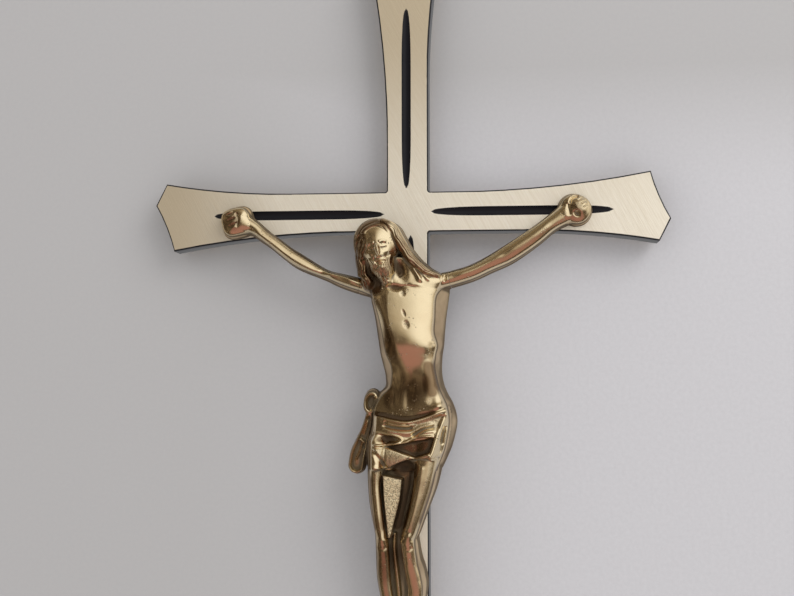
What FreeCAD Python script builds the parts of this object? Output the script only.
"""Wall crucifix: a flared brass cross plate, a relief corpus in three castings, and a hinged hanging ring.

Frame: +Z up, +X to the viewer's right, front faces -Y. The origin is on the back face, where the two arms
cross. Millimetres. Every size is a cell of one of the two sheets, and the pieces are bound to those cells.
"""
import FreeCAD, Part
import math
import os
import re

import Sketcher
from FreeCAD import Vector

doc = FreeCAD.newDocument("wall_crucifix")

# ----------------------------------------------------------------------------------------------------------
# Driving dimensions: alias, value, meaning
# ----------------------------------------------------------------------------------------------------------

CROSS_DIMS = [
    ("plate_thick", 6.0, "thickness of the cross plate"),
    ("plate_draft", 2.0, "casting draft of the plate's edge, degrees"),
    ("edge_round", 0.45, "radius round the front edge"),
    ("reach_side", 73.2, "crossing to the tip of a side arm"),
    ("reach_upper", 77.0, "crossing to the tip of the upper arm"),
    ("reach_lower", 173.0, "crossing to the tip of the lower arm"),
    ("corner_round", 0.7, "radius in the crossing's inner corners"),
    ("bar_half", 5.85, "half width of the crossbar at the root"),
    ("post_half", 6.05, "half width of the upright at the root"),
    ("tip_side_shift", 2.65, "shift of an arm's tip towards its narrow side"),
    ("narrow_back", 3.3, "tip to the corner on the narrow side, along the arm"),
    ("narrow_rise", 9.1, "that corner's distance from the arm's axis"),
    ("narrow_radius", 210.0, "radius of the flare on the narrow side"),
    ("broad_back", 5.5, "tip to the corner on the broad side, along the arm"),
    ("broad_rise", 10.85, "that corner's distance from the arm's axis"),
    ("broad_radius", 284.0, "radius of the flare on the broad side"),
    ("end_hollow_radius", 55.0, "radius of the slightly hollow long facet of an arm's end"),
    ("groove_cutter", 1.5, "radius of the ball-nosed groove"),
    ("groove_deep", 0.76, "depth of the groove"),
    ("groove_ramp", 168.0, "radius of the groove's run-out"),
    ("groove_start", 6.2, "crossing to a groove's inner point"),
    ("groove_end_right", 57.6, "crossing to the outer point of the right arm's groove"),
    ("groove_end_upper", 58.4, "crossing to the outer point of the upper arm's groove"),
    ("groove_end_left", 56.0, "crossing to the outer point of the left arm's groove"),
    ("groove_end_lower", 156.5, "crossing to the outer point of the lower arm's groove"),
    ("groove_aside_right", 0.0, "right groove's middle line, up"),
    ("groove_aside_upper", -0.3, "upper groove's middle line, across"),
    ("groove_aside_left", -0.65, "left groove's middle line, up"),
    ("groove_aside_lower", 0.9, "lower groove's middle line, across"),
    ("screw_bore", 1.6, "radius of a corpus screw's clearance hole"),
    ("sink_radius", 3.1, "radius of a corpus screw's counterbore"),
    ("sink_deep", 2.4, "depth of that counterbore"),
    ("hand_left_x", -48.6, "left hand's screw, across"),
    ("hand_left_z", -2.2, "left hand's screw, up"),
    ("hand_right_x", 46.3, "right hand's screw, across"),
    ("hand_right_z", 0.0, "right hand's screw, up"),
    ("feet_x", -0.6, "feet's screw, across"),
    ("feet_z", -127.0, "feet's screw, up"),
    ("screw_shank", 1.5, "radius of a corpus screw's shank"),
    ("screw_head", 2.75, "radius of its cheese head"),
    ("screw_head_tall", 1.9, "height of that head"),
    ("screw_bite", 2.3, "length of its shank inside the corpus"),
    ("slot_wide", 0.8, "width of a screw's slot"),
    ("slot_deep", 0.8, "depth of a screw's slot"),
    ("recess_half", 4.8, "half width of the hanger's recess, and radius of its ends"),
    ("recess_deep", 2.9, "depth of that recess"),
    ("recess_low", 57.5, "height of its lower end's centre"),
    ("recess_high", 66.9, "height of its upper end's centre"),
    ("hanger_x", -0.6, "hanger's centre, across"),
    ("knuckle_z", 62.5, "height of the hanger's hinge axis"),
    ("strap_thick", 0.6, "thickness of the strap"),
    ("strap_half", 2.8, "half width of the strap"),
    ("strap_low", 54.2, "height of the strap's lower end"),
    ("strap_screw_z", 57.4, "height of the strap's screw"),
    ("strap_bore", 1.05, "radius of the hole in the strap"),
    ("strap_shank", 1.0, "radius of the strap screw's shank"),
    ("strap_head", 1.8, "radius of its head"),
    ("strap_head_tall", 1.1, "height of its head"),
    ("strap_bite", 2.0, "length of its shank inside the plate"),
    ("strap_spare", 0.2, "room under that shank's end"),
    ("wire_radius", 0.6, "radius of the ring's wire"),
    ("hinge_gap", 0.08, "running clearance of the ring's bar in the knuckle"),
    ("ring_half", 3.8, "half width of the ring, to the wire's centre line"),
    ("ring_corner", 1.0, "radius of the ring's lower corners"),
    ("ring_side", 4.0, "hinge axis to the start of the ring's bow"),
    ("ring_rest_gap", 0.04, "gap between the resting ring and the recess's floor"),
]

# Stations of the corpus: each member is lofted through half-oval sections that stand on the plate's front.
# name, x, z, half width across the member, relief above the plate
MEMBERS = {
    "torso": [
        ("collar", 0.6, -17.0, 7.6, 6.4),
        ("breast", 0.8, -23.0, 11.2, 9.8),
        ("ribs", 1.3, -33.0, 9.7, 9.3),
        ("waist", 1.6, -44.0, 8.0, 7.6),
        ("belly", 1.9, -50.0, 9.2, 8.4),
        ("hips", 2.2, -58.0, 10.8, 9.2),
        ("seat", 0.8, -67.0, 10.6, 9.0),
    ],
    "cloth": [
        ("cloth_top", 2.6, -55.6, 11.6, 9.6),
        ("cloth_middle", 1.9, -61.5, 12.2, 10.6),
        ("cloth_hem", 0.9, -68.4, 11.4, 10.2),
    ],
    "left_leg": [
        ("left_hip", -4.8, -62.0, 5.0, 8.6),
        ("left_thigh", -6.9, -75.0, 4.3, 8.4),
        ("left_knee", -6.3, -90.0, 3.1, 8.6),
        ("left_calf", -4.7, -106.0, 2.8, 6.8),
        ("left_ankle", -2.9, -119.0, 2.0, 4.8),
    ],
    "right_leg": [
        ("right_hip", 7.4, -62.0, 5.0, 8.8),
        ("right_thigh", 5.4, -76.0, 4.4, 8.8),
        ("right_knee", 0.9, -90.0, 2.6, 9.0),
        ("right_calf", 1.9, -106.0, 3.0, 7.0),
        ("right_ankle", 0.9, -119.0, 2.1, 5.6),
    ],
    "under_foot": [
        ("under_heel", -3.0, -117.5, 2.1, 4.9),
        ("under_arch", -0.9, -125.5, 2.9, 4.6),
        ("under_toes", 1.2, -132.5, 2.3, 2.6),
    ],
    "over_foot": [
        ("over_heel", 1.0, -117.5, 2.2, 5.7),
        ("over_arch", -0.5, -125.5, 2.7, 6.8),
        ("over_toes", -1.6, -133.6, 2.2, 4.2),
    ],
    "hair_lock": [
        ("lock_crown", -2.6, -5.6, 2.6, 9.5),
        ("lock_ear", 2.0, -10.8, 2.9, 9.8),
        ("lock_neck", 6.0, -15.0, 2.4, 8.6),
        ("lock_end", 9.2, -17.8, 1.5, 6.6),
    ],
    "side_hair": [
        ("side_crown", -12.0, -9.0, 2.2, 8.0),
        ("side_ear", -12.2, -15.0, 2.4, 7.6),
        ("side_end", -9.8, -21.5, 1.8, 7.0),
    ],
    "neck": [
        ("neck_top", -4.2, -15.0, 4.6, 9.0),
        ("neck_root", -0.5, -21.0, 6.0, 8.6),
    ],
    "left_shoulder": [
        ("left_nape", -4.0, -21.5, 3.4, 7.0),
        ("left_joint", -14.2, -20.5, 2.5, 5.3),
    ],
    "right_shoulder": [
        ("right_nape", 4.0, -20.5, 3.6, 7.2),
        ("right_joint", 13.2, -18.8, 2.5, 5.3),
    ],
    "web": [
        ("web_top", -1.2, -69.0, 3.8, 3.8),
        ("web_knee", -2.6, -90.0, 1.8, 3.2),
        ("web_ankle", -0.9, -117.0, 1.6, 3.0),
    ],
    "left_arm": [
        ("left_root", -11.4, -21.5, 2.7, 5.5),
        ("left_biceps", -20.0, -18.9, 2.1, 4.8),
        ("left_elbow", -28.5, -14.9, 2.4, 4.6),
        ("left_forearm", -37.5, -9.0, 2.0, 4.3),
        ("left_wrist", -43.6, -4.9, 1.9, 4.0),
        ("left_heel", -46.2, -3.7, 3.5, 4.2),
        ("left_fist", -48.9, -2.2, 4.4, 4.5),
        ("left_knuckles", -51.3, -0.9, 3.3, 4.0),
        ("left_fingers", -52.8, -0.1, 1.3, 2.2),
    ],
    "right_arm": [
        ("right_root", 10.4, -19.6, 2.7, 5.5),
        ("right_biceps", 19.0, -17.0, 2.3, 4.8),
        ("right_elbow", 27.5, -12.7, 2.7, 4.7),
        ("right_forearm", 35.0, -7.9, 2.6, 4.5),
        ("right_wrist", 40.4, -4.0, 2.6, 4.2),
        ("right_heel", 43.2, -2.3, 4.0, 4.4),
        ("right_fist", 46.3, -0.1, 4.9, 5.0),
        ("right_knuckles", 49.4, 2.0, 3.9, 4.2),
        ("right_fingers", 51.1, 3.2, 1.6, 2.4),
    ],
    "cloth_tail": [
        ("tail_knot", -10.4, -56.0, 1.5, 4.4),
        ("tail_fold", -12.4, -64.0, 2.1, 3.8),
        ("tail_end", -14.2, -72.4, 2.9, 3.2),
    ],
}

FIGURE_DIMS = [
    ("head_x", -6.9, "centre of the head with its hair, across"),
    ("head_z", -11.4, "centre of the head, up"),
    ("head_out", 6.0, "centre of the head above the plate's front"),
    ("head_half", 8.0, "half width of the head with its hair"),
    ("head_tall", 9.4, "half height of the head"),
    ("head_deep", 6.4, "half depth of the head"),
    ("head_lean", 18.0, "lean of the head's long axis, degrees"),
    ("face_x", -5.8, "centre of the face, across"),
    ("face_z", -12.6, "centre of the face, up"),
    ("face_out", 8.6, "centre of the face above the plate's front"),
    ("face_half", 4.6, "half width of the face"),
    ("face_tall", 7.4, "half height of the face with its beard"),
    ("face_deep", 5.0, "half depth of the face"),
    ("knot_x", -10.1, "loop of the loincloth's knot, across"),
    ("knot_z", -53.6, "loop of the knot, up"),
    ("knot_out", 2.4, "loop of the knot above the plate's front"),
    ("knot_ring", 2.1, "radius of the knot's loop"),
    ("knot_roll", 0.95, "radius of the roll of cloth that forms it"),
    ("seam_left_x", -12.8, "left arm's joint with the shoulder, across"),
    ("seam_left_z", -21.0, "left arm's joint, up"),
    ("seam_right_x", 11.8, "right arm's joint with the shoulder, across"),
    ("seam_right_z", -19.2, "right arm's joint, up"),
    ("seam_half", 4.5, "half width of the joint's face"),
    ("seam_reach", 6.0, "depth to which the joint's two sides are cut clear"),
]
STATION_SIZES = (("x", "across"), ("z", "up"), ("half", "half width"), ("relief", "relief above the plate"))


def fill_sheet(name, rows):
    """Make a sheet with one row per dimension: meaning, value and alias."""
    sheet = doc.addObject("Spreadsheet::Sheet", name)
    for number, (alias, value, meaning) in enumerate(rows, start=1):
        sheet.set("A%d" % number, meaning)
        sheet.set("B%d" % number, str(value))
        sheet.setAlias("B%d" % number, alias)
    doc.recompute()
    return sheet


def station_rows():
    """Sheet rows of every station; the station where two members meet is listed once."""
    rows = {}
    for stations in MEMBERS.values():
        for name, *sizes in stations:
            for (size, meaning), value in zip(STATION_SIZES, sizes):
                alias = name + "_" + size
                rows[alias] = (alias, value, name.replace("_", " ") + ": " + meaning)
    return list(rows.values())


cross = fill_sheet("cross", CROSS_DIMS)
figure = fill_sheet("figure", FIGURE_DIMS + station_rows())

# ----------------------------------------------------------------------------------------------------------
# Small helpers
# ----------------------------------------------------------------------------------------------------------


def bind(item, **expressions):
    """Bind properties of an object to sheet cells; two underscores stand for a dot in a property's path."""
    for path, expression in expressions.items():
        item.setExpression(path.replace("__", "."), expression)


def new_body(name):
    body = doc.addObject("PartDesign::Body", name)
    body.Label = name
    return body


def attach(sketch, body, role):
    """Lay a sketch on one of its body's origin planes: XZ_Plane has +X right, +Z up and looks along -Y."""
    plane = next(feature for feature in body.Origin.OriginFeatures if feature.Role == role)
    sketch.AttachmentSupport = [(plane, "")]
    sketch.MapMode = "FlatFace"


def new_sketch(body, name, role):
    sketch = body.newObject("Sketcher::SketchObject", name)
    attach(sketch, body, role)
    return sketch


def place_of(rules):
    """The point that a pair of sheet expressions gives now."""
    return Vector(*[float(cross.evalExpression(rule)) for rule in rules], 0)


def end_near(sketch, edge, place):
    """Which end of an edge, 1 or 2, lies at a place."""
    return 1 if (sketch.getPoint(edge, 1) - place).Length < (sketch.getPoint(edge, 2) - place).Length else 2


def set_size(sketch, kind, *target, rule):
    """Add a size to a sketch and bind it to a sheet expression."""
    start = float(cross.evalExpression(rule))
    row = sketch.addConstraint(Sketcher.Constraint(kind, *target, start))
    sketch.setExpression("Constraints[%d]" % row, with_sheet(rule))


def with_sheet(rule):
    """The same expression as another object reads it, each alias with its sheet's name in front."""
    return re.sub(r"[a-z][a-z_]*", lambda alias: "cross." + alias.group(0), rule)


def pin(sketch, edge, rules):
    """Hold the end of an edge that lies at the place of two expressions to that place."""
    end = end_near(sketch, edge, place_of(rules))
    set_size(sketch, "DistanceX", -1, 1, edge, end, rule=rules[0])
    set_size(sketch, "DistanceY", -1, 1, edge, end, rule=rules[1])


def arc_between(start, end, radius, bulge):
    """Arc of a radius from start to end that bulges towards the vector bulge."""
    half = (end - start).Length / 2
    sagitta = radius - math.sqrt(radius * radius - half * half)
    return Part.Arc(start, (start + end) / 2 + bulge.normalize() * sagitta, end)


def round_sketch(body, name, centres, radius):
    """A sketch on the back face of equal circles, one at each place of two expressions."""
    sketch = new_sketch(body, name, "XZ_Plane")
    for number, rules in enumerate(centres):
        centre = place_of(rules)
        sketch.addGeometry(Part.Circle(centre, Vector(0, 0, 1), getattr(cross, radius)))
        set_size(sketch, "Radius", number, rule=radius)
        set_size(sketch, "DistanceX", -1, 1, number, 3, rule=rules[0])
        set_size(sketch, "DistanceY", -1, 1, number, 3, rule=rules[1])
    return sketch


def cut_from_back(body, sketch, depth):
    """Pocket from the back face into the plate, or right through it."""
    pocket = body.newObject("PartDesign::Pocket", sketch.Name + "_cut")
    pocket.Profile = sketch
    pocket.Reversed = True
    bind(pocket, Length=with_sheet(depth))
    return pocket


# ----------------------------------------------------------------------------------------------------------
# Cross plate
# ----------------------------------------------------------------------------------------------------------

# Each arm is the one before it turned a quarter turn, so the outline turns like a pinwheel: "along" runs
# out along the arm and "broad" points from the arm's axis to the side that flares more. "half" is the arm's
# own half width and "root" that of the arms it crosses.
ARM_ROWS = [
    ("right", (1, 0), (0, 1), "side", "bar_half", "post_half"),
    ("upper", (0, 1), (-1, 0), "upper", "post_half", "bar_half"),
    ("left", (-1, 0), (0, -1), "side", "bar_half", "post_half"),
    ("lower", (0, -1), (1, 0), "lower", "post_half", "bar_half"),
]
ARMS = [dict(zip(("name", "along", "broad", "span", "half", "root"), row)) for row in ARM_ROWS]


def on_arm(arm, along, aside):
    """Expressions of a point of an arm, from its distances along the arm and towards the broad side."""
    rules = []
    for axis in (0, 1):
        sign, rule = (arm["along"][axis], along) if arm["along"][axis] else (arm["broad"][axis], aside)
        rules.append("%d * (%s)" % (sign, rule))
    return rules


def flare_start(arm, side, reach, rise):
    """Distance along the arm at which a flare leaves the straight root, tangent to it."""
    radius = getattr(cross, side + "_radius")
    drop = radius - (rise - getattr(cross, arm["half"]))
    return reach - math.sqrt(radius * radius - drop * drop)


def add_arm(sketch, arm, first):
    """One arm's six edges, from its root on the narrow side round its end to its root on the broad side."""
    root_narrow = on_arm(arm, arm["root"], "-" + arm["half"])
    tip_rule = "reach_" + arm["span"]
    corner_narrow = on_arm(arm, tip_rule + " - narrow_back", "-narrow_rise")
    tip = on_arm(arm, tip_rule, "-tip_side_shift")
    corner_broad = on_arm(arm, tip_rule + " - broad_back", "broad_rise")
    root_broad = on_arm(arm, arm["root"], arm["half"])
    along = Vector(*arm["along"], 0)
    broad = Vector(*arm["broad"], 0)
    reach = getattr(cross, tip_rule)
    half = getattr(cross, arm["half"])
    narrow_run = flare_start(arm, "narrow", reach - cross.narrow_back, cross.narrow_rise)
    broad_run = flare_start(arm, "broad", reach - cross.broad_back, cross.broad_rise)
    start_narrow = along * narrow_run - broad * half
    start_broad = along * broad_run + broad * half
    places = [place_of(rules) for rules in (root_narrow, corner_narrow, tip, corner_broad, root_broad)]
    sketch.addGeometry([
        Part.LineSegment(places[0], start_narrow),
        arc_between(start_narrow, places[1], cross.narrow_radius, along + broad),
        Part.LineSegment(places[1], places[2]),
        arc_between(places[2], places[3], cross.end_hollow_radius, -along),
        arc_between(places[3], start_broad, cross.broad_radius, along - broad),
        Part.LineSegment(start_broad, places[4]),
    ])
    level = "Horizontal" if arm["along"][0] else "Vertical"
    for straight, flare, start, side in ((0, 1, start_narrow, "narrow"), (5, 4, start_broad, "broad")):
        sketch.addConstraint(Sketcher.Constraint(level, first + straight))
        sketch.addConstraint(Sketcher.Constraint(
            "Tangent",
            first + straight, end_near(sketch, first + straight, start),
            first + flare, end_near(sketch, first + flare, start)))
        set_size(sketch, "Radius", first + flare, rule=side + "_radius")
    set_size(sketch, "Radius", first + 3, rule="end_hollow_radius")
    for edge, rules in ((1, corner_narrow), (2, tip), (3, corner_broad)):
        pin(sketch, first + edge, rules)
        place = place_of(rules)
        sketch.addConstraint(Sketcher.Constraint(
            "Coincident",
            first + edge, end_near(sketch, first + edge, place),
            first + edge + 1, end_near(sketch, first + edge + 1, place)))
    pin(sketch, first, root_narrow)


def outline_sketch(body):
    """The plate's closed outline: four arms of six edges each."""
    sketch = new_sketch(body, "outline", "XZ_Plane")
    count = 6 * len(ARMS)
    for number, arm in enumerate(ARMS):
        add_arm(sketch, arm, 6 * number)
    for number in range(len(ARMS)):
        last, following = 6 * number + 5, (6 * number + 6) % count
        sketch.addConstraint(Sketcher.Constraint("Coincident", last, 2, following, 1))
    return sketch


def inner_corners(shape):
    """Names of the four upright edges at the crossing's inner corners."""
    names = []
    for number, edge in enumerate(shape.Edges, start=1):
        middle = edge.CenterOfMass
        near = max(abs(middle.x), abs(middle.z)) < cross.groove_start
        if near and edge.BoundBox.YLength > cross.plate_thick / 2:
            names.append("Edge%d" % number)
    return names


def front_rim(shape):
    """Names of the edges of the front face."""
    front = min(shape.Faces, key=lambda face: face.BoundBox.YMax)
    rim = [edge.hashCode() for edge in front.Edges]
    return ["Edge%d" % number for number, edge in enumerate(shape.Edges, start=1) if edge.hashCode() in rim]


def add_fillet(body, name, base, edges, radius):
    fillet = body.newObject("PartDesign::Fillet", name)
    fillet.Base = (base, edges)
    bind(fillet, Radius=with_sheet(radius))
    doc.recompute()
    return fillet


def add_groove(body, arm):
    """Cut one canoe-shaped groove: a ball-nosed cutter runs in and out of the face along two long arcs."""
    across = arm["along"][0] != 0
    sign = arm["along"][0] or arm["along"][1]
    aside = "groove_aside_" + arm["name"]
    path = new_sketch(body, "groove_path_" + arm["name"], "XY_Plane" if across else "YZ_Plane")
    path.setExpression(".AttachmentOffset.Base.z", "cross." + aside)
    ramp = math.sqrt(2 * cross.groove_ramp * cross.groove_deep - cross.groove_deep ** 2)
    shallow = -cross.plate_thick - cross.groove_cutter
    deep = shallow + cross.groove_deep
    ends = [sign * cross.groove_start, sign * getattr(cross, "groove_end_" + arm["name"])]
    inner = [ends[0] + sign * ramp, ends[1] - sign * ramp]

    def spot(run, depth):
        return Vector(run, depth, 0) if across else Vector(depth, run, 0)

    outward = spot(0, 1)
    path.addGeometry([
        arc_between(spot(ends[0], shallow), spot(inner[0], deep), cross.groove_ramp, outward),
        Part.LineSegment(spot(inner[0], deep), spot(inner[1], deep)),
        arc_between(spot(inner[1], deep), spot(ends[1], shallow), cross.groove_ramp, outward),
    ])
    for edge, place in ((0, spot(inner[0], deep)), (1, spot(inner[1], deep))):
        path.addConstraint(Sketcher.Constraint(
            "Coincident", edge, end_near(path, edge, place), edge + 1, end_near(path, edge + 1, place)))
    section = new_sketch(body, "groove_section_" + arm["name"], "YZ_Plane" if across else "XY_Plane")
    section.AttachmentOffset = FreeCAD.Placement(Vector(0, 0, ends[0]), FreeCAD.Rotation())
    section.setExpression(".AttachmentOffset.Base." + ("y" if across else "x"), "cross." + aside)
    centre = Vector(shallow, 0, 0) if across else Vector(0, shallow, 0)
    section.addGeometry(Part.Circle(centre, Vector(0, 0, 1), cross.groove_cutter))
    section.addConstraint(Sketcher.Constraint("Radius", 0, cross.groove_cutter))
    section.setExpression("Constraints[0]", "cross.groove_cutter")
    groove = body.newObject("PartDesign::SubtractivePipe", "groove_" + arm["name"])
    groove.Profile = section
    groove.Spine = path
    return groove


SCREW_SPOTS = ("hand_left", "hand_right", "feet")


def recess_sketch(body):
    """Long round-ended recess for the hanger, on the back of the upper arm."""
    sketch = new_sketch(body, "hanger_recess", "XZ_Plane")
    half = cross.recess_half
    low = Vector(cross.hanger_x, cross.recess_low, 0)
    high = Vector(cross.hanger_x, cross.recess_high, 0)
    aside = Vector(half, 0, 0)
    sketch.addGeometry([
        Part.LineSegment(low + aside, high + aside),
        Part.Arc(high + aside, high + Vector(0, half, 0), high - aside),
        Part.LineSegment(high - aside, low - aside),
        Part.Arc(low - aside, low - Vector(0, half, 0), low + aside),
    ])
    for edge, place in ((0, high + aside), (1, high - aside), (2, low - aside), (3, low + aside)):
        after = (edge + 1) % 4
        sketch.addConstraint(Sketcher.Constraint(
            "Tangent", edge, end_near(sketch, edge, place), after, end_near(sketch, after, place)))
    set_size(sketch, "Radius", 1, rule="recess_half")
    for arc, rule in ((1, "recess_high"), (3, "recess_low")):
        set_size(sketch, "DistanceX", -1, 1, arc, 3, rule="hanger_x")
        set_size(sketch, "DistanceY", -1, 1, arc, 3, rule=rule)
    return sketch


def make_cross_plate():
    body = new_body("cross_plate")
    outline = outline_sketch(body)
    slab = body.newObject("PartDesign::Pad", "slab")
    slab.Profile = outline
    bind(slab, Length="cross.plate_thick", TaperAngle="-cross.plate_draft")
    doc.recompute()
    corners = add_fillet(body, "inner_corner_round", slab, inner_corners(slab.Shape), "corner_round")
    add_fillet(body, "front_edge_round", corners, front_rim(corners.Shape), "edge_round")
    for arm in ARMS:
        add_groove(body, arm)
        doc.recompute()
    screws = [(spot + "_x", spot + "_z") for spot in SCREW_SPOTS]
    sinks = round_sketch(body, "counterbores", screws, "sink_radius")
    cut_from_back(body, sinks, "sink_deep")
    bores = round_sketch(body, "clearance_holes", screws, "screw_bore")
    cut_from_back(body, bores, "plate_thick + groove_deep")
    cut_from_back(body, recess_sketch(body), "recess_deep")
    tapped = round_sketch(body, "strap_screw_hole", [("hanger_x", "strap_screw_z")], "strap_shank")
    cut_from_back(body, tapped, "recess_deep + strap_bite + strap_spare")
    return body



# ----------------------------------------------------------------------------------------------------------
# Corpus
# ----------------------------------------------------------------------------------------------------------


def station_point(name):
    return Vector(getattr(figure, name + "_x"), -cross.plate_thick, getattr(figure, name + "_z"))


def section_turn(direction, wide):
    """Turn of an oval section: its plane crosses the member, its long axis runs across it or outwards."""
    out = Vector(0, -1, 0)
    across = direction.cross(out).normalize()
    if wide:
        return FreeCAD.Rotation(across, out, direction, "XYZ")
    return FreeCAD.Rotation(out, across, direction, "XYZ")


def make_member(name):
    """Loft one member of the figure through its stations' ovals, which are centred on the plate's front."""
    stations = [row[0] for row in MEMBERS[name]]
    points = [station_point(station) for station in stations]
    wide = all(row[3] >= row[4] for row in MEMBERS[name])
    sections = []
    for number, station in enumerate(stations):
        before = points[max(number - 1, 0)]
        after = points[min(number + 1, len(points) - 1)]
        oval = doc.addObject("Part::Ellipse", name + "_" + station)
        oval.Placement = FreeCAD.Placement(points[number], section_turn((after - before).normalize(), wide))
        major, minor = ("half", "relief") if wide else ("relief", "half")
        bind(oval,
             MajorRadius="figure.%s_%s" % (station, major),
             MinorRadius="figure.%s_%s" % (station, minor),
             Placement__Base__x="figure.%s_x" % station,
             Placement__Base__z="figure.%s_z" % station)
        sections.append(oval)
    member = doc.addObject("Part::Loft", name)
    member.Sections = sections
    member.Solid = True
    member.Ruled = False
    return member


def make_oval(name, across, deep, tall, place, lean=None):
    """Ellipsoid of the three radii, centred at the place's three expressions, leaning about the Y axis."""
    oval = doc.addObject("Part::Ellipsoid", name)
    turn = FreeCAD.Rotation(Vector(0, 1, 0), float(figure.evalExpression(lean)) if lean else 0)
    oval.Placement = FreeCAD.Placement(Vector(), turn)
    oval.Angle1 = -90
    oval.Angle2 = 90
    oval.Angle3 = 360
    bind(oval, Radius1=tall, Radius2=across, Radius3=deep,
         Placement__Base__x=place[0], Placement__Base__y=place[1], Placement__Base__z=place[2])
    return oval


def fuse(name, pieces):
    union = doc.addObject("Part::MultiFuse", name)
    union.Shapes = pieces
    return union


def cut(name, base, tool):
    difference = doc.addObject("Part::Cut", name)
    difference.Base = base
    difference.Tool = tool
    return difference


def behind_plate(name):
    """Block that fills the room behind the plate's front, where no casting of the corpus reaches."""
    block = doc.addObject("Part::Box", name)
    bind(block, Length="2 * cross.reach_side", Width="4 * cross.plate_thick",
         Height="2 * cross.reach_lower", Placement__Base__x="-cross.reach_side",
         Placement__Base__y="-cross.plate_thick", Placement__Base__z="-cross.reach_lower")
    return block


def tapped_hole(name, spot):
    """Blind hole from behind for a corpus screw, a little deeper than the screw reaches."""
    hole = doc.addObject("Part::Cylinder", name)
    hole.Placement.Rotation = FreeCAD.Rotation(Vector(1, 0, 0), 90)
    bind(hole, Radius="cross.screw_shank", Height="cross.screw_bite + cross.strap_spare",
         Placement__Base__x="cross.%s_x" % spot, Placement__Base__y="-cross.plate_thick",
         Placement__Base__z="cross.%s_z" % spot)
    return hole


def flat_backed(name, casting, spot):
    """Flatten a casting's back against the plate and drill its screw's hole."""
    flat = cut(name + "_flat", casting, behind_plate(name + "_back"))
    return cut(name, flat, tapped_hole(name + "_hole", spot))


BODY_MEMBERS = ("torso", "cloth", "left_leg", "right_leg", "under_foot", "over_foot", "hair_lock",
                "side_hair", "neck", "left_shoulder", "right_shoulder", "web", "cloth_tail")


def make_head():
    front = "-cross.plate_thick - figure.%s"
    hair = make_oval("hair_cap", "figure.head_half", "figure.head_deep", "figure.head_tall",
                     ("figure.head_x", front % "head_out", "figure.head_z"), "-head_lean")
    face = make_oval("face", "figure.face_half", "figure.face_deep", "figure.face_tall",
                     ("figure.face_x", front % "face_out", "figure.face_z"), "-head_lean")
    return [hair, face]


def make_knot():
    """Loop of the loincloth's knot at the left hip."""
    loop = doc.addObject("Part::Torus", "knot")
    loop.Placement.Rotation = FreeCAD.Rotation(Vector(1, 0, 0), 90)
    bind(loop, Radius1="figure.knot_ring", Radius2="figure.knot_roll", Placement__Base__x="figure.knot_x",
         Placement__Base__y="-cross.plate_thick - figure.knot_out", Placement__Base__z="figure.knot_z")
    return loop


def joint_block(name, side, outward):
    """Block with one face on a shoulder's joint, which covers the arm's side of it or the body's."""
    seam = station_point("seam_" + side)
    along = (station_point(side + "_biceps") - seam).normalize()
    block = doc.addObject("Part::Box", name)
    bind(block, Length="figure.seam_reach", Width="4 * cross.plate_thick", Height="2 * figure.seam_half")
    corner = Vector(0, -4 * cross.plate_thick, -figure.seam_half)
    turn = FreeCAD.Rotation(Vector(1, 0, 0), along if outward else -along)
    block.Placement = FreeCAD.Placement(seam, turn).multiply(FreeCAD.Placement(corner, FreeCAD.Rotation()))
    return block


def make_corpus_body():
    pieces = [make_member(name) for name in BODY_MEMBERS]
    pieces += make_head()
    pieces.append(make_knot())
    shoulders = [joint_block(side + "_joint_room", side, True) for side in ("left", "right")]
    trimmed = cut("figure_trimmed", fuse("figure_union", pieces), fuse("joint_rooms", shoulders))
    return flat_backed("corpus_body", trimmed, "feet")


def make_corpus_arm(side):
    """One separately cast arm: it starts at the shoulder's joint and ends in a clenched hand."""
    root = joint_block(side + "_arm_root", side, False)
    trimmed = cut("arm_trimmed_" + side, make_member(side + "_arm"), root)
    return flat_backed("corpus_arm_" + side, trimmed, "hand_" + side)


# ----------------------------------------------------------------------------------------------------------
# Screws
# ----------------------------------------------------------------------------------------------------------


def make_screw(name, place, seat, shank, head, head_tall, reach):
    """Slotted screw driven from behind: its head stands on the seat towards +Y, its shank runs towards -Y.

    All arguments but the name are sheet expressions: the (x, z) place, the seat's y, the radii of shank and
    head, the head's height and the shank's length.
    """
    facing_back = FreeCAD.Rotation(Vector(1, 0, 0), -90)
    disc = doc.addObject("Part::Cylinder", name + "_head")
    disc.Placement.Rotation = facing_back
    bind(disc, Radius=head, Height=head_tall, Placement__Base__x=place[0], Placement__Base__y=seat,
         Placement__Base__z=place[1])
    stem = doc.addObject("Part::Cylinder", name + "_shank")
    stem.Placement.Rotation = facing_back
    bind(stem, Radius=shank, Height="(%s) * 0.9" % reach, Placement__Base__x=place[0],
         Placement__Base__y="%s - (%s) * 0.9" % (seat, reach), Placement__Base__z=place[1])
    point = doc.addObject("Part::Cone", name + "_point")
    point.Placement.Rotation = facing_back
    bind(point, Radius1="(%s) * 0.7" % shank, Radius2=shank, Height="(%s) * 0.1" % reach,
         Placement__Base__x=place[0], Placement__Base__y="%s - (%s)" % (seat, reach),
         Placement__Base__z=place[1])
    blank = fuse(name + "_blank", [disc, stem, point])
    slot = doc.addObject("Part::Box", name + "_slot")
    bind(slot, Length="2 * (%s)" % head, Width="cross.slot_deep", Height="cross.slot_wide",
         Placement__Base__x="%s - (%s)" % (place[0], head),
         Placement__Base__y="%s + %s - cross.slot_deep" % (seat, head_tall),
         Placement__Base__z="%s - cross.slot_wide / 2" % place[1])
    return cut(name, blank, slot)


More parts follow.
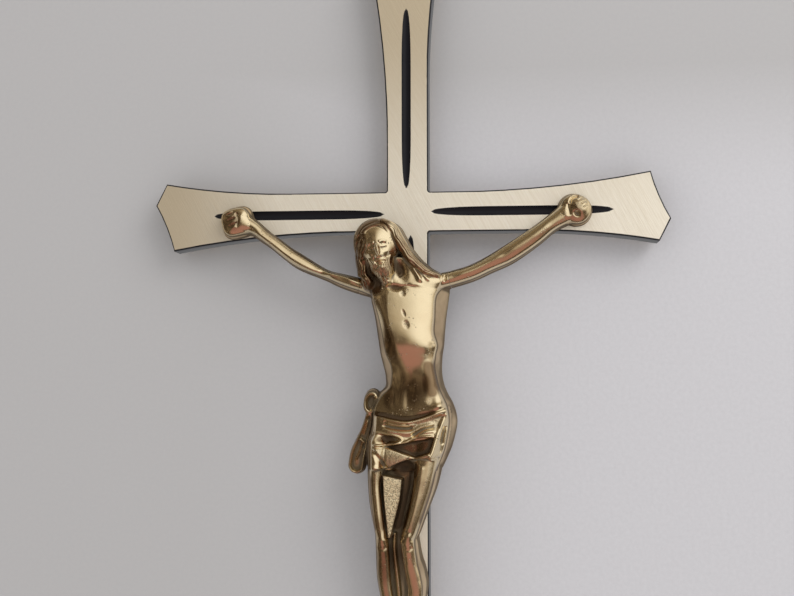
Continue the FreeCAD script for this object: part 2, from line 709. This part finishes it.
def make_corpus_screws():
    """The three screws that hold the corpus on, through the plate from behind."""
    names = {"hand_left": "hand_screw_left", "hand_right": "hand_screw_right", "feet": "feet_screw"}
    return [
        make_screw(names[spot], ("cross.%s_x" % spot, "cross.%s_z" % spot), "-cross.sink_deep",
                   "cross.screw_shank", "cross.screw_head", "cross.screw_head_tall",
                   "cross.plate_thick - cross.sink_deep + cross.screw_bite")
        for spot in SCREW_SPOTS]


# ----------------------------------------------------------------------------------------------------------
# Hanger
# ----------------------------------------------------------------------------------------------------------


def hinge_place():
    """Middle of the hinge's axis: the knuckle rests on the recess's floor."""
    outside = cross.wire_radius + cross.hinge_gap + cross.strap_thick
    return Vector(cross.hanger_x, outside - cross.recess_deep, cross.knuckle_z)


def strap_profile(body):
    """Side view of the strap: a flat leg on the recess's floor that curls up into an open knuckle."""
    sketch = new_sketch(body, "strap_profile", "YZ_Plane")
    bore = cross.wire_radius + cross.hinge_gap
    outside = bore + cross.strap_thick
    drop = cross.strap_low - cross.knuckle_z
    curl_end = math.radians(-100)

    def on_circle(radius, angle):
        return Vector(radius * math.cos(angle), radius * math.sin(angle), 0)

    sketch.addGeometry([
        Part.LineSegment(Vector(-outside, drop, 0), Vector(-outside, 0, 0)),
        Part.Arc(Vector(-outside, 0, 0), Vector(0, outside, 0), on_circle(outside, curl_end)),
        Part.LineSegment(on_circle(outside, curl_end), on_circle(bore, curl_end)),
        Part.Arc(on_circle(bore, curl_end), Vector(0, bore, 0), Vector(-bore, 0, 0)),
        Part.LineSegment(Vector(-bore, 0, 0), Vector(-bore, drop, 0)),
        Part.LineSegment(Vector(-bore, drop, 0), Vector(-outside, drop, 0)),
    ])
    for curve, rule in ((1, "wire_radius + hinge_gap + strap_thick"), (3, "wire_radius + hinge_gap")):
        set_size(sketch, "Radius", curve, rule=rule)
    return sketch


def make_hanger_strap():
    body = new_body("hanger_strap")
    sheet = body.newObject("PartDesign::Pad", "strap_sheet")
    sheet.Profile = strap_profile(body)
    sheet.Midplane = True
    bind(sheet, Length="2 * cross.strap_half")
    doc.recompute()
    low_corners = [
        "Edge%d" % number for number, edge in enumerate(sheet.Shape.Edges, start=1)
        if edge.BoundBox.YLength > cross.strap_thick * 0.9
        and edge.BoundBox.ZLength < cross.hinge_gap
        and edge.BoundBox.XLength < cross.hinge_gap
        and edge.CenterOfMass.z < cross.strap_low - cross.knuckle_z + cross.hinge_gap]
    add_fillet(body, "strap_low_round", sheet, low_corners, "strap_half * 0.8")
    hole = round_sketch(body, "strap_hole", [("0 * hanger_x", "strap_screw_z - knuckle_z")], "strap_bore")
    through = body.newObject("PartDesign::Pocket", "strap_hole_cut")
    through.Profile = hole
    through.Midplane = True
    bind(through, Length="4 * cross.recess_deep")
    body.Placement = FreeCAD.Placement(hinge_place(), FreeCAD.Rotation())
    return body


def ring_path(body):
    """Centre line of the ring's wire: a straight bar on the hinge axis, rounded corners and a round bow."""
    sketch = new_sketch(body, "ring_path", "XZ_Plane")
    half, corner, side = cross.ring_half, cross.ring_corner, cross.ring_side
    slant = corner * math.sqrt(0.5)
    places = {}
    for sign in (-1, 1):
        places[sign] = {
            "bar": Vector(sign * (half - corner), 0, 0),
            "corner": Vector(sign * (half - corner + slant), corner - slant, 0),
            "low": Vector(sign * half, corner, 0),
            "high": Vector(sign * half, side, 0),
        }
    left, right = places[-1], places[1]
    sketch.addGeometry([
        Part.LineSegment(Vector(0, 0, 0), right["bar"]),
        Part.Arc(right["bar"], right["corner"], right["low"]),
        Part.LineSegment(right["low"], right["high"]),
        Part.Arc(right["high"], Vector(0, side + half, 0), left["high"]),
        Part.LineSegment(left["high"], left["low"]),
        Part.Arc(left["low"], left["corner"], left["bar"]),
        Part.LineSegment(left["bar"], Vector(0, 0, 0)),
    ])
    for arc, rule in ((1, "ring_corner"), (3, "ring_half"), (5, "ring_corner")):
        set_size(sketch, "Radius", arc, rule=rule)
    return sketch


def make_hanger_ring():
    """The D-shaped ring at rest: it points up and leans until its bow nearly touches the recess's floor."""
    body = new_body("hanger_ring")
    path = ring_path(body)
    section = new_sketch(body, "ring_section", "YZ_Plane")
    section.addGeometry(Part.Circle(Vector(0, 0, 0), Vector(0, 0, 1), cross.wire_radius))
    set_size(section, "Radius", 0, rule="wire_radius")
    wire = body.newObject("PartDesign::AdditivePipe", "ring_wire")
    wire.Profile = section
    wire.Spine = path
    lean = math.degrees(math.asin(
        (cross.hinge_gap + cross.strap_thick - cross.ring_rest_gap) / (cross.ring_side + cross.ring_half)))
    body.Placement = FreeCAD.Placement(hinge_place(), FreeCAD.Rotation(Vector(1, 0, 0), lean))
    return body


def make_hanger_screw():
    return make_screw("hanger_screw", ("cross.hanger_x", "cross.strap_screw_z"),
                      "cross.strap_thick - cross.recess_deep", "cross.strap_shank", "cross.strap_head",
                      "cross.strap_head_tall", "cross.strap_thick + cross.strap_bite")


# ----------------------------------------------------------------------------------------------------------
# Build, check and write
# ----------------------------------------------------------------------------------------------------------


def check_document():
    """Stop if any object of the document failed to build."""
    doc.recompute()
    for item in doc.Objects:
        if "Invalid" in item.State or "Error" in item.State:
            raise RuntimeError("%s did not build: %s" % (item.Label, item.State))


def write_piece(piece):
    shape = piece.Shape
    if shape.isNull() or not shape.isValid() or len(shape.Solids) != 1:
        raise RuntimeError("%s is not one valid solid" % piece.Label)
    shape.exportStep("parts/%s.step" % piece.Label)
    print(piece.Label, round(shape.Volume, 1), "mm3")


def main():
    pieces = [make_cross_plate(), make_corpus_body()]
    pieces += [make_corpus_arm(side) for side in ("left", "right")]
    pieces += make_corpus_screws()
    pieces += [make_hanger_strap(), make_hanger_ring(), make_hanger_screw()]
    check_document()
    os.makedirs("parts", exist_ok=True)
    for piece in pieces:
        write_piece(piece)


main()
